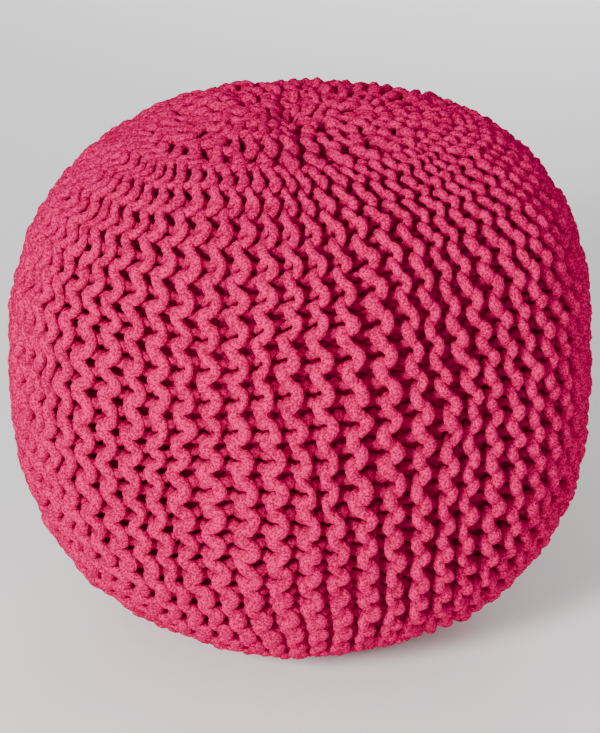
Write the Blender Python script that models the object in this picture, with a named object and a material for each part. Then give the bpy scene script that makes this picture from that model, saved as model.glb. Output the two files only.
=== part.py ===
"""Cotton rope pouf: one stuffed, nearly round seat whose cover is knitted in garter stitch.

The knitted rows run from the gathered crown to the gathered foot, so the cover is ribbed like
a melon. Every second rib stops short of the gathers, and every fourth stops right beside them.
Units are metres, +Z is up, and the origin is at the middle of the base.
"""

import math

import bmesh
import bpy
import numpy as np
from mathutils import Matrix, Vector

# Overall form
DIAMETER = 0.500
CROWN_HEIGHT = 0.245  # from the widest level up to the top
FOOT_REACH = 0.232  # from the widest level down, before the weight presses the base flat
WAIST_LEVEL = 0.226  # the widest level above the floor
CROWN_FULLNESS = 2.8  # 2 is a round profile, more is squarer
FOOT_FULLNESS = 2.45
SWAY = 0.0075  # how far the crown and foot stand off to +X from the widest level
LUMP = 0.004  # unevenness of the stuffing, as a share of the radius
LUMPS_AROUND = 3
LUMP_TURN = 1.0  # radians from -Y to where the lumps start

# Knitting
RIDGES = 64
STITCHES = 30  # along a rib, from gather to gather
RIB_DEPTH = 0.009
CREST_SHARPNESS = 0.8  # 1 is a plain wave, less is broader on top
KNIT_LEAN = math.radians(4.3)  # the two gathers are not quite over each other
SHORT_RIB_STITCHES = 6  # how far from a gather every second rib stops
SHORTER_RIB_STITCHES = 2  # and every fourth
RIB_END_STITCHES = 1.2  # length over which a rib dies away

# Gathers
GATHER_DEPTH = 0.008
GATHER_RADIUS = 0.030
RIB_FADE_RADIUS = 0.060  # ribs lose depth inside this distance from a gather

# Mesh
POINTS_PER_RIB = 4
RINGS = 22
PROFILE_STEPS = 720

ROPE_COLOUR = (0.80, 0.055, 0.145, 1.0)
ROPE_ROUGHNESS = 0.95


def reach(polar):
    """Distance from the middle of the widest level to the surface, at an angle from straight up."""
    upper = polar < math.pi / 2
    fullness = CROWN_FULLNESS if upper else FOOT_FULLNESS
    height = CROWN_HEIGHT if upper else FOOT_REACH
    side = abs(math.sin(polar)) / (DIAMETER / 2)
    rise = abs(math.cos(polar)) / height
    return (side**fullness + rise**fullness) ** (-1 / fullness)


def profile_lengths():
    """Polar angles down one side of the pouf, and the length of the profile down to each."""
    angles = np.linspace(0, math.pi, PROFILE_STEPS + 1)
    radii = np.array([reach(angle) for angle in angles])
    across = np.diff(radii * np.sin(angles))
    down = np.diff(radii * np.cos(angles))
    lengths = np.concatenate([[0], np.cumsum(np.hypot(across, down))])
    return angles, lengths


def surface_point(azimuth, polar):
    """A point of the smooth pouf under the ribs. Azimuth 0 is -Y, and 90 degrees is +X."""
    direction = Vector(
        (
            math.sin(polar) * math.sin(azimuth),
            -math.sin(polar) * math.cos(azimuth),
            math.cos(polar),
        )
    )
    direction.rotate(Matrix.Rotation(-KNIT_LEAN, 3, "Y"))
    upright = math.acos(max(-1, min(1, direction.z)))
    around = math.atan2(direction.x, -direction.y)
    lump = 1 + LUMP * math.sin(LUMPS_AROUND * around + LUMP_TURN) * math.sin(upright) ** 2
    point = direction * reach(upright) * lump
    point.x += SWAY * math.cos(upright) ** 2
    point.z += WAIST_LEVEL
    return point, direction


def rib_height(turn, ribs):
    """0 in the groove between two ribs and 1 on a crest, at a share of a full turn."""
    return abs(math.cos(math.pi * turn * ribs)) ** CREST_SHARPNESS


def ease(value):
    """A smooth step from 0 to 1."""
    value = max(0, min(1, value))
    return value * value * (3 - 2 * value)


def relief(turn, stitch):
    """How far the surface stands up from the grooves here, from 0 to 1."""
    from_gather = min(stitch, STITCHES - stitch)
    all_ribs = ease(0.5 + (from_gather - SHORT_RIB_STITCHES) / RIB_END_STITCHES)
    half_ribs = ease(0.5 + (from_gather - SHORTER_RIB_STITCHES) / RIB_END_STITCHES)
    near_gather = rib_height(turn, RIDGES // 4)
    further = rib_height(turn, RIDGES // 2)
    height = near_gather + (further - near_gather) * half_ribs
    return height + (rib_height(turn, RIDGES) - height) * all_ribs


def knitted_point(azimuth, share):
    """A point of the ribbed cover, at a share of the way from the crown's gather to the foot's."""
    angles, lengths = PROFILE
    polar = float(np.interp(share * lengths[-1], lengths, angles))
    point, direction = surface_point(azimuth, polar)
    from_gather = (DIAMETER / 2) * math.sin(polar)
    fade = ease(from_gather / RIB_FADE_RADIUS)
    groove = RIB_DEPTH * fade * (1 - relief(azimuth / math.tau, share * STITCHES))
    dip = GATHER_DEPTH * (1 - ease(from_gather / GATHER_RADIUS)) if share < 0.5 else 0
    point -= direction * (groove + dip)
    point.z = max(point.z, 0)
    return point


def stand_on_origin(bm):
    """Moves the mesh so that the middle of its box's underside is the origin."""
    low = Vector(min(v.co[i] for v in bm.verts) for i in range(3))
    high = Vector(max(v.co[i] for v in bm.verts) for i in range(3))
    middle = (low + high) / 2
    bmesh.ops.translate(bm, vec=(-middle.x, -middle.y, -low.z), verts=bm.verts)


def rope_material():
    material = bpy.data.materials.new("cotton_rope")
    material.use_nodes = True
    shader = material.node_tree.nodes["Principled BSDF"]
    shader.inputs["Base Color"].default_value = ROPE_COLOUR
    shader.inputs["Roughness"].default_value = ROPE_ROUGHNESS
    shader.inputs["Metallic"].default_value = 0
    return material


def knitted_pouf(collection):
    """The stuffed cover: a sphere whose points are moved to the pouf's ribbed form."""
    bm = bmesh.new()
    bmesh.ops.create_uvsphere(
        bm, u_segments=RIDGES * POINTS_PER_RIB, v_segments=RINGS, radius=1
    )
    for vertex in bm.verts:
        azimuth = math.atan2(vertex.co.x, -vertex.co.y)
        share = math.acos(max(-1, min(1, vertex.co.z))) / math.pi
        vertex.co = knitted_point(azimuth, share)
    stand_on_origin(bm)
    bmesh.ops.recalc_face_normals(bm, faces=bm.faces)
    mesh = bpy.data.meshes.new("knitted_pouf")
    bm.to_mesh(mesh)
    bm.free()
    mesh.shade_smooth()
    mesh.materials.append(rope_material())
    pouf = bpy.data.objects.new("knitted_pouf", mesh)
    collection.objects.link(pouf)
    return pouf


def main():
    for obj in list(bpy.data.objects):
        bpy.data.objects.remove(obj)
    collection = bpy.data.collections.new("cotton_rope_pouf")
    bpy.context.scene.collection.children.link(collection)
    knitted_pouf(collection)


PROFILE = profile_lengths()
main()
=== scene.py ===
"""Cotton rope pouf: a stuffed body in a cover that is knitted from thick cotton rope.

The cover is garter stitch and is made the way it is knitted. Each raised ridge is a knit row and
a purl row of the same rope, looped through each other and through the ridges on both sides. The
rows run from the gathered crown to the gathered foot. A ridge is first laid out flat, as a rope
at its real thickness, and is then wrapped over the pouf.

Lengths are in metres. Turns round the pouf are measured from -Y by way of +X.
"""

import math
from collections import namedtuple

import bmesh
import bpy
import numpy as np
from mathutils import Matrix, Vector


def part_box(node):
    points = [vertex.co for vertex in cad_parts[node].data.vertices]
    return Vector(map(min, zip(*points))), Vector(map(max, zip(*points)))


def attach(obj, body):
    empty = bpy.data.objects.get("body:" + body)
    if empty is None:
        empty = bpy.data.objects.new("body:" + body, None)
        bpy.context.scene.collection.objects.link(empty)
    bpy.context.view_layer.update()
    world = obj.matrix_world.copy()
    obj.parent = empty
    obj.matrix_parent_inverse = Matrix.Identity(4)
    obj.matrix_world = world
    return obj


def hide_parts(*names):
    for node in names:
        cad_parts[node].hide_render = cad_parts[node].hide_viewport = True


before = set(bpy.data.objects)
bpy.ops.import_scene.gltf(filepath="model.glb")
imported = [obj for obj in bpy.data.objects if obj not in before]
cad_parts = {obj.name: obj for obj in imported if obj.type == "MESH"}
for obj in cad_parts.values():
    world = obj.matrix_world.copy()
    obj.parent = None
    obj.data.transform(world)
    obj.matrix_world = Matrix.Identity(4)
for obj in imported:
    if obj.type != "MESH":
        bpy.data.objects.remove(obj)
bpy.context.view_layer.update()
LOW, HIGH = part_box("knitted_pouf")

# Form of the stuffed pouf
CROWN_SHARE = 0.520  # of the height, from the widest level up
FOOT_GIVE = 0.006  # how much of the foot the weight has pressed flat
RADIUS = (HIGH.x - LOW.x) / 2
CROWN_HEIGHT = CROWN_SHARE * (HIGH.z - LOW.z)
WAIST_LEVEL = HIGH.z - CROWN_HEIGHT  # the widest level above the floor
FOOT_REACH = WAIST_LEVEL + FOOT_GIVE  # from there down to the foot, before it was pressed flat
CROWN_FULLNESS = 2.75  # 2 is a round profile, more is squarer
FOOT_FULLNESS = 2.4
PROFILE_STEPS = 720
SOFT_LEVEL = 0.004  # rope that would lie lower than this gives way to the floor
NOT_ZERO = 1e-9  # keeps a point on the axis from a division by 0

# Where the form is less even
SWAY = 0.0075  # how far the crown and foot stand off to +X from the widest level
KNIT_LEAN = math.radians(4.3)  # the two gathers are not quite over each other
LUMP = 0.004  # unevenness of the stuffing, as a share of the radius
LUMPS_AROUND = 3
LUMP_TURN = 1.0  # in radians
SHOULDER = 0.009  # the stuffing has pushed one shoulder out, as a share of the radius
SHOULDER_TURN = math.radians(105)
SHOULDER_HEIGHT = math.radians(38)  # above the widest level
SHOULDER_SPREAD = 0.22

# The gathers
GATHER_SLOPE = 0.007  # how much lower than its form the pouf lies round a gather
SLOPE_STITCHES = 11  # how far from a gather the slope starts, in stitches
GATHER_DEPTH = 0.010  # of the dimple in the crown
GATHER_RADIUS = 0.034

# Knitting
RIDGES = 64
STITCHES = 30  # along a ridge, from gather to gather
RIDGE_PITCH = math.tau * RADIUS / RIDGES
RIDGES_PER_GORE = 8

# Where the ridges stop, in stitches from a gather: every second ridge, every second one of the
# rest, every second one of those, and the last ones
STOPS = (4.6, 2.2, 1.1)
LAST_STOP = 0.35
STOP_BLEND = 1.2  # over how many stitches the others spread into the room of one that stops

# The room a ridge has, as a share of its usual pitch, and what comes of it, as powers of it
LEAST_ROOM = 0.25
MOST_ROOM = 1.2
ROPE_FOLLOWS = 0.7  # the rope is thinner where there is less room
WIDTH_RESISTS = 0.6  # its path keeps more of its width across the ridge
WIDTH_RESISTS_DOWN_TO = 0.5
DEPTH_GROWS = 0.15  # and it reaches deeper

# Rope
ROPE = 0.0098  # its usual thickness
ROPE_UNEVENNESS = 0.085  # as a share of its thickness
SHORTEST_SWELL = 0.009  # from one thick place along it to the next
LONGEST_SWELL = 0.045
LEG_THINNING = 0.1  # how much thinner it is in a loop's legs, and thicker in its ends
SIDES = 8
POINTS_PER_STITCH = 16
TURN_POINTS = 5  # where it turns back at a ridge's end
TURN_REACH = 0.9  # and how far that turn reaches out, in rope thicknesses

# How the loops lie, in rope thicknesses. Up is towards the crown. A loop's head is the end that
# holds the next row, and its foot is the other end.
LoopShape = namedtuple(
    "LoopShape",
    [
        "fullness",  # how far a loop spreads along the ridge, past its neck
        "rounding",  # how much its ends are narrowed and its middle is filled
        "pinch",  # how much narrower its head is than its foot
        "droop",  # how far its front end is drawn up and its back end hangs down
        "reach",  # half of its length across the ridges
        "tilt",  # how far both its ends lean up
        "lean",  # how far its head leans down and its foot leans up
        "depth",  # half of the way from the front of the cover to its back
        "knit_flatness",  # how much nearer to the front the legs of a knit loop are
        "purl_flatness",  # and of a purl loop
        "purl_sink",  # how far a purl row lies behind a knit row
        "thickness",  # of the rope, as a share of the usual one
    ],
)
LOOSE_LOOPS = LoopShape(
    fullness=0.375,
    rounding=0.05,
    pinch=0.04,
    droop=0.25,
    reach=1.12,
    tilt=0.20,
    lean=0.11,
    depth=1.10,
    knit_flatness=0.37,
    purl_flatness=0.05,
    purl_sink=0.14,
    thickness=1.04,
)
TIGHT_LOOPS = LoopShape(
    fullness=0.40,
    rounding=0.09,
    pinch=0.00,
    droop=0.10,
    reach=1.05,
    tilt=0.17,
    lean=0.09,
    depth=1.30,
    knit_flatness=-0.10,
    purl_flatness=-0.10,
    purl_sink=0.00,
    thickness=1.0,
)
TIGHT_TURN = math.radians(75)  # where round the pouf its cover is stretched tightest
TIGHT_FROM = 0.1  # the cosine of the turn from there at which the loops start to get tighter
TIGHT_OVER = 0.7  # and how much larger it is where they are all tight
SINK = 0.35  # how far below the form the rope's middle lies at the loops' fronts
BODY_SINK = 2.4  # and how far below it the body lies

# Unevenness of the stitches: round the pouf as a share of a turn, along the ridge and outwards
SEED = 7
SLOW_ROUND = 0.0016
SLOW_ALONG = 0.0016
SLOW_OUT = 0.0012
SLOW_WAVES = {"shortest": 0.07, "longest": 0.20, "waves": 14}
QUICK_ROUND = 0.0006
QUICK_ALONG = 0.0009
QUICK_OUT = 0.0009
QUICK_WAVES = {"shortest": 0.025, "longest": 0.06, "waves": 40}
GATHER_UNEVENNESS = 1.6  # how much more of the quick kind there is at a gather
UNEVEN_STITCHES = 7  # and within how many stitches of it

# Where the rope's colour is darkened as painted shade, by its depth behind the loops' fronts, in
# rope thicknesses
SHADE_FROM = -0.2
SHADE_OVER = 1.25

# Colours and finish
YARN_PINK = (0.68, 0.002, 0.124, 1)
BETWEEN_YARNS = (0.27, 0.001, 0.038, 1)
# painted shade: the darker pink that the rope's colour goes to where it lies deep between the loops
PAINTED_SHADE_PINK = (0.14, 0.001, 0.016, 1)
PAINTED_SHADE_AMOUNT = 0.52  # how far the rope's colour goes to the darker pink where it lies behind: painted shade in the recesses between the loops
FLECK_CONTRAST = 4.8
FIBRE_CONTRAST = 2.4
PATCH_CONTRAST = 0.8
YARN_DARKNESS = 3.45  # more leaves fewer yarns at their full pink
FIBRE_RELIEF = 0.6
FLECK_RELIEF = 0.9
INSIDE_DARK = (0.36, 0.001, 0.044, 1)
INSIDE_PALE = (0.54, 0.002, 0.082, 1)
PALE_GREY = (0.93, 0.93, 0.93, 1)
WHITE = (1, 1, 1, 1)

# Studio
FLOOR_RADIUS = 30
ROOM_LIGHT = 0.46
CAMERA_LENS = 141.5  # in mm
FILM_WIDTH = 36  # in mm
CAMERA_DISTANCE = 2.5
CAMERA_ELEVATION = math.radians(22.1)
CAMERA_TARGET = Vector((-0.002, 0, WAIST_LEVEL + 0.006))


def ease(value):
    """A smooth step from 0 to 1."""
    value = np.clip(value, 0, 1)
    return value * value * (3 - 2 * value)


def fade(distance, over):
    """1 at a distance of 0, and 0 where it is over or more."""
    return 1 - ease(distance / over)


def add_object(name, data):
    obj = bpy.data.objects.new(name, data)
    bpy.context.scene.collection.objects.link(obj)
    return obj


def add_piece(name, bm, material):
    """Makes a piece of one material from a bmesh."""
    mesh = bpy.data.meshes.new(name)
    bm.to_mesh(mesh)
    bm.free()
    mesh.materials.append(material)
    return add_object(name, mesh)


# The smooth form ---------------------------------------------------------------------------


def half_profile(upper):
    """The fullness and the height of the profile's upper or lower half."""
    fullness = np.where(upper, CROWN_FULLNESS, FOOT_FULLNESS)
    height = np.where(upper, CROWN_HEIGHT, FOOT_REACH)
    return fullness, height


def reach(polar):
    """Distance from the middle of the widest level to the surface, at angles from straight up."""
    fullness, height = half_profile(polar < math.pi / 2)
    side = np.abs(np.sin(polar)) / RADIUS
    rise = np.abs(np.cos(polar)) / height
    return (side**fullness + rise**fullness) ** (-1 / fullness)


def direction_to(turn, polar):
    """The way from the middle to a turn round the pouf and an angle from straight up."""
    level = np.sin(polar)
    return np.stack([level * np.sin(turn), -level * np.cos(turn), np.cos(polar)], axis=-1)


SHOULDER_DIRECTION = direction_to(SHOULDER_TURN, math.pi / 2 - SHOULDER_HEIGHT)
PROFILE_ANGLES = np.linspace(0, math.pi, PROFILE_STEPS + 1)
PROFILE_WIDTHS = reach(PROFILE_ANGLES) * np.sin(PROFILE_ANGLES)
PROFILE_LEVELS = reach(PROFILE_ANGLES) * np.cos(PROFILE_ANGLES)
STEP_LENGTHS = np.hypot(np.diff(PROFILE_WIDTHS), np.diff(PROFILE_LEVELS))
PROFILE_LENGTHS = np.concatenate([[0], np.cumsum(STEP_LENGTHS)])
STITCH_PITCH = PROFILE_LENGTHS[-1] / STITCHES


def form(turn, stitch):
    """Points of the smooth pouf and the directions out of it.

    turn is a share of a full turn, and stitch counts from the crown.
    """
    polar = np.interp(stitch * STITCH_PITCH, PROFILE_LENGTHS, PROFILE_ANGLES)
    direction = direction_to(math.tau * turn, polar)
    direction = direction @ np.array(Matrix.Rotation(-KNIT_LEAN, 3, "Y")).T
    upright = np.arccos(np.clip(direction[..., 2], -1, 1))
    around = np.arctan2(direction[..., 0], -direction[..., 1])
    lump = 1 + LUMP * np.sin(LUMPS_AROUND * around + LUMP_TURN) * np.sin(upright) ** 2
    lump += SHOULDER * np.exp((direction @ SHOULDER_DIRECTION - 1) / SHOULDER_SPREAD)
    points = direction * (reach(upright) * lump)[..., None]
    outwards = directions_out(points)
    points[..., 0] += SWAY * np.cos(upright) ** 2
    points[..., 2] += WAIST_LEVEL
    return points, outwards


def directions_out(points):
    """The directions out of the pouf at points measured from the middle of its widest level."""
    x, y, z = points[..., 0], points[..., 1], points[..., 2]
    fullness, height = half_profile(z > 0)
    level = np.hypot(x, y) + NOT_ZERO
    side = (level / RADIUS) ** (fullness - 1) / RADIUS
    rise = (np.abs(z) / height) ** (fullness - 1) / height
    out = np.stack([side * x / level, side * y / level, rise * np.sign(z)], axis=-1)
    return out / np.linalg.norm(out, axis=-1, keepdims=True)


def rest_on_floor(points):
    """Presses what would sink into the floor flat, softly."""
    z = points[..., 2]
    pressed = SOFT_LEVEL * np.exp(np.minimum(z - SOFT_LEVEL, 0) / SOFT_LEVEL)
    points[..., 2] = np.where(z < SOFT_LEVEL, pressed, z)
    return points


# A ridge of the knitting, laid out flat ----------------------------------------------------


def loop_shape(ridge):
    """The shape of a ridge's loops: fuller where the cover is loose."""
    nearness = math.cos(math.tau * ridge / RIDGES - TIGHT_TURN)
    tight = ease((nearness - TIGHT_FROM) / TIGHT_OVER)
    pairs = zip(LOOSE_LOOPS, TIGHT_LOOPS)
    return LoopShape(*(loose + (firm - loose) * tight for loose, firm in pairs))


def loops(count, side, shape):
    """A row of loops laid out flat: distances along the ridge, across it and out of it.

    side is 1 for a knit row, whose heads are in front, and -1 for a purl row. The two rows lie a
    quarter of a ridge to either side of its middle.
    """
    row = math.tau * count
    along = shape.fullness * np.sin(2 * row) - shape.rounding * np.sin(4 * row)
    along += shape.pinch * np.sin(row) + side * shape.droop * np.cos(row)
    across = shape.tilt * np.sin(row) + shape.lean * np.sin(2 * row) - shape.reach * np.cos(row)
    flatness = shape.knit_flatness if side > 0 else shape.purl_flatness
    out = -side * shape.depth * np.cos(row) - flatness * np.cos(2 * row)
    if side < 0:
        out -= shape.purl_sink
    return np.stack(
        [
            STITCH_PITCH * count + ROPE * along,
            ROPE * across - side * RIDGE_PITCH / 4,
            ROPE * out,
        ],
        axis=-1,
    )


def turn_back(start, end, side):
    """The rope where it turns from one row into the next, at a ridge's end."""
    angles = np.linspace(0, math.pi, TURN_POINTS + 2)[1:-1]
    middle = (start + end) / 2
    half = (start - end) / 2
    points = middle + np.cos(angles)[:, None] * half
    points[:, 0] += side * TURN_REACH * ROPE * np.sin(angles)
    return points


def flat_ridge(first, last, shape):
    """The rope of one ridge, laid out flat: down its knit row and back up its purl row."""
    steps = int(round((last - first) * POINTS_PER_STITCH))
    count = np.linspace(first, last, steps + 1)
    knit = loops(count, 1, shape)
    purl = loops(count[::-1], -1, shape)
    lower_turn = turn_back(knit[-1], purl[0], 1)
    upper_turn = turn_back(purl[-1], knit[0], -1)
    return np.concatenate([knit, lower_turn, purl, upper_turn])


def ridge_ends(ridge):
    """Where a ridge starts and stops, in stitches from the crown."""
    for halving, stop in enumerate(STOPS, start=1):
        if ridge % 2**halving:
            return stop, STITCHES - stop
    return LAST_STOP, STITCHES - LAST_STOP


def ridge_share(stitch):
    """Share of a full turn that one ridge takes up: more where its neighbours have stopped."""
    from_gather = np.minimum(stitch, STITCHES - stitch)
    share = 1 / RIDGES
    for stop in STOPS:
        share = share * (1 + ease(0.5 + (stop - from_gather) / STOP_BLEND))
    return share


def rope_mesh(path):
    """A closed rope of even thickness along a flat path, as a mesh of rings."""
    curve = bpy.data.curves.new("rope", "CURVE")
    curve.dimensions = "3D"
    curve.bevel_depth = ROPE / 2
    curve.bevel_resolution = (SIDES - 4) // 2  # 0 gives 4 sides, and each step 2 more
    spline = curve.splines.new("POLY")
    spline.points.add(len(path) - 1)
    spline.points.foreach_set("co", np.column_stack([path, np.ones(len(path))]).ravel())
    spline.use_cyclic_u = True
    rope = add_object("rope", curve)
    bpy.context.view_layer.update()
    graph = bpy.context.evaluated_depsgraph_get()
    mesh = bpy.data.meshes.new_from_object(rope.evaluated_get(graph))
    bpy.data.objects.remove(rope)
    bpy.data.curves.remove(curve)
    return mesh


# Unevenness --------------------------------------------------------------------------------


class Waver:
    """Smooth unevenness over the pouf: random waves through space, the same in each run."""

    def __init__(self, rng, shortest, longest, waves):
        lengths = rng.uniform(shortest, longest, waves)
        ways = rng.normal(size=(waves, 3))
        ways /= np.linalg.norm(ways, axis=1, keepdims=True)
        self.ways = ways * (math.tau / lengths)[:, None]
        self.phases = rng.uniform(0, math.tau, waves)
        self.scale = math.sqrt(2 / waves)

    def at(self, points):
        return np.sin(points @ self.ways.T + self.phases).sum(-1) * self.scale


class Unevenness:
    """How far stitches are out of place: slowly over the pouf, and quickly from each to the next."""

    def __init__(self, rng):
        self.slow = [Waver(rng, **SLOW_WAVES) for _ in range(3)]
        self.quick = [Waver(rng, **QUICK_WAVES) for _ in range(3)]

    def shift(self, turn, along, out, points, loose):
        """Shifts the turn, along and out of points. loose makes the quick shifts larger."""
        slow = [waver.at(points) for waver in self.slow]
        quick = [waver.at(points) for waver in self.quick]
        turn = turn + SLOW_ROUND * slow[0] + QUICK_ROUND * loose * quick[0]
        along = along + SLOW_ALONG * slow[1] + QUICK_ALONG * loose * quick[1]
        out = out + SLOW_OUT * slow[2] + QUICK_OUT * loose * quick[2]
        return turn, along, out


def random_run(rng, length, shortest, longest, waves=24):
    """A smooth random run along the rope, about 0 and mostly within 1 of it."""
    waves_per_metre = 1 / rng.uniform(shortest, longest, waves)
    phases = rng.uniform(0, math.tau, waves)
    return np.sin(math.tau * length[:, None] * waves_per_metre + phases).sum(-1) / math.sqrt(waves)


# The knitted cover -------------------------------------------------------------------------


def wrap(flat, centres, thickness, front, ridge, unevenness):
    """Takes a flat ridge's rope onto the pouf.

    flat has the points round the rope and centres has its path. front is how far the path comes
    forward at its loops' fronts, in rope thicknesses.
    """
    stitch = centres[:, :1] / STITCH_PITCH
    from_gather = np.minimum(stitch, STITCHES - stitch)
    share = ridge_share(stitch)
    polar = np.interp(centres[:, :1], PROFILE_LENGTHS, PROFILE_ANGLES)
    room = math.tau * share * reach(polar) * np.sin(polar) / RIDGE_PITCH
    room = np.clip(room, LEAST_ROOM, MOST_ROOM)

    offset = (flat - centres[:, None, :]) * (thickness[:, None] * room**ROPE_FOLLOWS)[..., None]
    widening = np.maximum(room, WIDTH_RESISTS_DOWN_TO) ** -WIDTH_RESISTS
    along = centres[:, :1] + offset[..., 0]
    across = centres[:, 1:2] * widening + offset[..., 1] / room
    out = (centres[:, 2:] - ROPE * (front + SINK)) * room**-DEPTH_GROWS + offset[..., 2]
    turn = ridge / RIDGES + across / RIDGE_PITCH * share

    even_points, _ = form(turn, along / STITCH_PITCH)
    loose = 1 + GATHER_UNEVENNESS * fade(from_gather, UNEVEN_STITCHES)
    turn, along, out = unevenness.shift(turn, along, out, even_points, loose)
    points, outwards = form(turn, along / STITCH_PITCH)
    out = out - GATHER_SLOPE * fade(from_gather, SLOPE_STITCHES)
    dimple = GATHER_DEPTH * fade(RADIUS * np.sin(polar), GATHER_RADIUS)
    out = out - np.where(stitch < STITCHES / 2, dimple, 0)
    return rest_on_floor(points + outwards * out[..., None])


def rope_thickness(path, shape, rng):
    """Thickness along a ridge's rope, as a share of the usual one."""
    steps = np.linalg.norm(np.diff(path, axis=0), axis=1)
    length = np.concatenate([[0], np.cumsum(steps)])
    loop_end = np.minimum(np.abs(path[:, 2]) / (ROPE * shape.depth), 1)
    thickness = shape.thickness * (1 - LEG_THINNING * (1 - 2 * loop_end))
    swell = random_run(rng, length, SHORTEST_SWELL, LONGEST_SWELL)
    return thickness * (1 + ROPE_UNEVENNESS * swell)


def knitted_ridge(ridge, unevenness, rng):
    """One ridge of the cover. Its painted shade attribute is 1 where the rope lies deep in it."""
    shape = loop_shape(ridge)
    front = shape.depth - shape.knit_flatness
    path = flat_ridge(*ridge_ends(ridge), shape)
    mesh = rope_mesh(path)
    flat = np.empty(len(mesh.vertices) * 3, np.float32)
    mesh.vertices.foreach_get("co", flat)
    flat = flat.reshape(len(path), -1, 3).astype(float)
    thickness = rope_thickness(path, shape, rng)
    wrapped = wrap(flat, path, thickness, front, ridge, unevenness)
    mesh.vertices.foreach_set("co", wrapped.astype(np.float32).ravel())
    # painted shade: darkens the rope's colour where it lies deep behind the loops' fronts
    painted_shade_mask = ease((front - flat[..., 2] / ROPE - SHADE_FROM) / SHADE_OVER)
    attribute = mesh.attributes.new("painted_shade_mask", "FLOAT", "POINT")
    attribute.data.foreach_set("value", painted_shade_mask.ravel().astype(np.float32))
    return mesh


def knitted_gore(number, material, unevenness, rng):
    """Eight neighbouring ridges of the cover, as one piece."""
    bm = bmesh.new()
    for ridge in range(number * RIDGES_PER_GORE, (number + 1) * RIDGES_PER_GORE):
        mesh = knitted_ridge(ridge, unevenness, rng)
        bm.from_mesh(mesh)
        bpy.data.meshes.remove(mesh)
    bmesh.ops.recalc_face_normals(bm, faces=bm.faces)
    gore = add_piece(f"knitted_gore_{number + 1}", bm, material)
    gore.data.shade_smooth()
    return gore


def stuffed_body(material):
    """The full body behind the knitting."""
    bm = bmesh.new()
    bmesh.ops.create_uvsphere(bm, u_segments=96, v_segments=48, radius=1)
    turns = np.array([math.atan2(v.co.x, -v.co.y) / math.tau for v in bm.verts])
    from_top = np.array([math.acos(max(-1, min(1, v.co.z))) / math.pi for v in bm.verts])
    points, outwards = form(turns, from_top * STITCHES)
    points = rest_on_floor(points - outwards * ROPE * BODY_SINK)
    for vertex, point in zip(bm.verts, points):
        vertex.co = point
    bmesh.ops.recalc_face_normals(bm, faces=bm.faces)
    body = add_piece("stuffed_body", bm, material)
    body.data.shade_smooth()
    return body


# Materials ---------------------------------------------------------------------------------


class Shade:
    """One output of a shader node. Arithmetic on it adds Math nodes."""

    def __init__(self, tree, socket=None):
        self.tree = tree
        self.socket = socket

    def add(self, kind, settings=None, inputs=None, output=0):
        """Adds a node: its settings first, then the values or links of its sockets."""
        node = self.tree.nodes.new("ShaderNode" + kind)
        for name, value in (settings or {}).items():
            setattr(node, name, value)
        for name, value in (inputs or {}).items():
            if isinstance(value, Shade):
                self.tree.links.new(value.socket, node.inputs[name])
            else:
                node.inputs[name].default_value = value
        return Shade(self.tree, node.outputs[output])

    def noise(self, place, scale, detail, roughness=0.5):
        inputs = {"Vector": place, "Scale": scale, "Detail": detail, "Roughness": roughness}
        return self.add("TexNoise", inputs=inputs)

    def mixed(self, factor, first, second):
        """A colour between two others. A Mix node takes colours at 6 and 7 and gives one at 2."""
        inputs = {"Factor": factor, 6: first, 7: second}
        return self.add("Mix", {"data_type": "RGBA"}, inputs, output=2)

    def maths(self, operation, *values):
        return self.add("Math", {"operation": operation}, dict(enumerate((self, *values))))

    def __add__(self, other):
        return self.maths("ADD", other)

    def __sub__(self, other):
        return self.maths("SUBTRACT", other)

    def __rsub__(self, other):
        return self.maths("MULTIPLY", -1).maths("ADD", other)

    def __mul__(self, other):
        return self.maths("MULTIPLY", other)

    __radd__ = __add__
    __rmul__ = __mul__


def blank_material(name, roughness, specular=0.5):
    """A material and its Principled shader."""
    material = bpy.data.materials.new(name)
    material.use_nodes = True
    shader = material.node_tree.nodes["Principled BSDF"]
    shader.inputs["Roughness"].default_value = roughness
    shader.inputs["Specular IOR Level"].default_value = specular
    return material, shader


def cotton_rope_material():
    """Soft, matt cotton rope: dark flecks between its yarns, and painted shade where it lies behind.
    """
    material, shader = blank_material("cotton_rope", roughness=0.95, specular=0)
    shade = Shade(material.node_tree)
    place = shade.add("TexCoord", output="Object")
    painted_shade_mask = shade.add("Attribute", {"attribute_name": "painted_shade_mask"}, output="Fac")
    fibre = shade.noise(place, scale=950, detail=3, roughness=0.65)
    fleck = shade.noise(place, scale=540, detail=2)
    patch = shade.noise(place, scale=45, detail=2)
    yarn = fleck * FLECK_CONTRAST + fibre * FIBRE_CONTRAST + patch * PATCH_CONTRAST - YARN_DARKNESS
    dyed = shade.mixed(yarn, BETWEEN_YARNS, YARN_PINK)
    # painted shade: the colour goes to a darker pink where the rope lies deep
    colour = shade.mixed(painted_shade_mask * PAINTED_SHADE_AMOUNT, dyed, PAINTED_SHADE_PINK)
    shade.tree.links.new(colour.socket, shader.inputs["Base Color"])
    height = fibre * FIBRE_RELIEF + fleck * FLECK_RELIEF
    bump = shade.add("Bump", inputs={"Height": height, "Strength": 0.9, "Distance": 0.0012})
    shade.tree.links.new(bump.socket, shader.inputs["Normal"])
    return material


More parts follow.
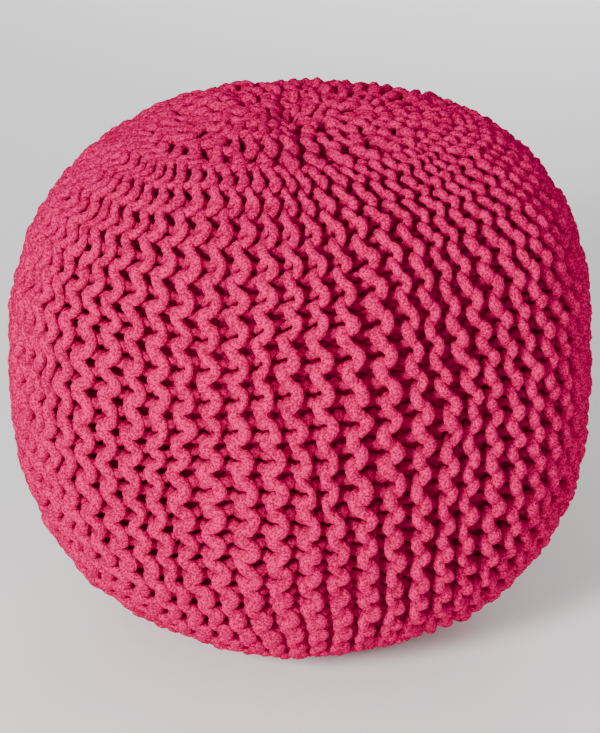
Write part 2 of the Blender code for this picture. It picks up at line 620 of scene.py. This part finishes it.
def inside_material():
    """The cover's shaded inner side, behind the gaps in the knitting."""
    material, shader = blank_material("cover_inside", roughness=1, specular=0)
    shade = Shade(material.node_tree)
    place = shade.add("TexCoord", output="Object")
    grain = shade.noise(place, scale=400, detail=3)
    colour = shade.mixed(grain, INSIDE_DARK, INSIDE_PALE)
    shade.tree.links.new(colour.socket, shader.inputs["Base Color"])
    return material


def floor_material():
    material, shader = blank_material("pale_floor", roughness=0.9)
    shader.inputs["Base Color"].default_value = PALE_GREY
    return material


# Studio ------------------------------------------------------------------------------------


def aim(obj, place, target):
    obj.location = place
    obj.rotation_euler = (Vector(target) - Vector(place)).to_track_quat("-Z", "Y").to_euler()


def soft_light(name, place, size, power):
    light = bpy.data.lights.new(name, "AREA")
    light.size = size
    light.energy = power
    aim(add_object(name, light), place, (0, 0, WAIST_LEVEL))


def pale_floor():
    bm = bmesh.new()
    bmesh.ops.create_circle(bm, cap_ends=True, segments=64, radius=FLOOR_RADIUS)
    floor = add_piece("floor", bm, floor_material())


def white_room():
    world = bpy.data.worlds.new("studio")
    world.use_nodes = True
    background = world.node_tree.nodes["Background"]
    background.inputs["Color"].default_value = WHITE
    background.inputs["Strength"].default_value = ROOM_LIGHT
    bpy.context.scene.world = world


def front_camera():
    camera = bpy.data.cameras.new("camera")
    camera.lens = CAMERA_LENS
    camera.sensor_width = FILM_WIDTH
    view = add_object("camera", camera)
    back = Vector((0, -math.cos(CAMERA_ELEVATION), math.sin(CAMERA_ELEVATION)))
    aim(view, CAMERA_TARGET + back * CAMERA_DISTANCE, CAMERA_TARGET)
    bpy.context.scene.camera = view


def studio():
    pale_floor()
    soft_light("key", place=(-1.43, -2.69, 1.50), size=0.7, power=172)
    soft_light("fill", place=(0.3, -3.1, 1.3), size=1.6, power=46)
    soft_light("back", place=(0.6, 3.2, 0.9), size=2.0, power=70)
    white_room()
    front_camera()


def main():
    rng = np.random.default_rng(SEED)
    unevenness = Unevenness(rng)
    rope = cotton_rope_material()
    body = stuffed_body(inside_material())
    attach(body, "root")
    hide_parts("knitted_pouf")
    for number in range(RIDGES // RIDGES_PER_GORE):
        gore = knitted_gore(number, rope, unevenness, rng)
        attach(gore, "root")
        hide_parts("knitted_pouf")
    studio()


main()
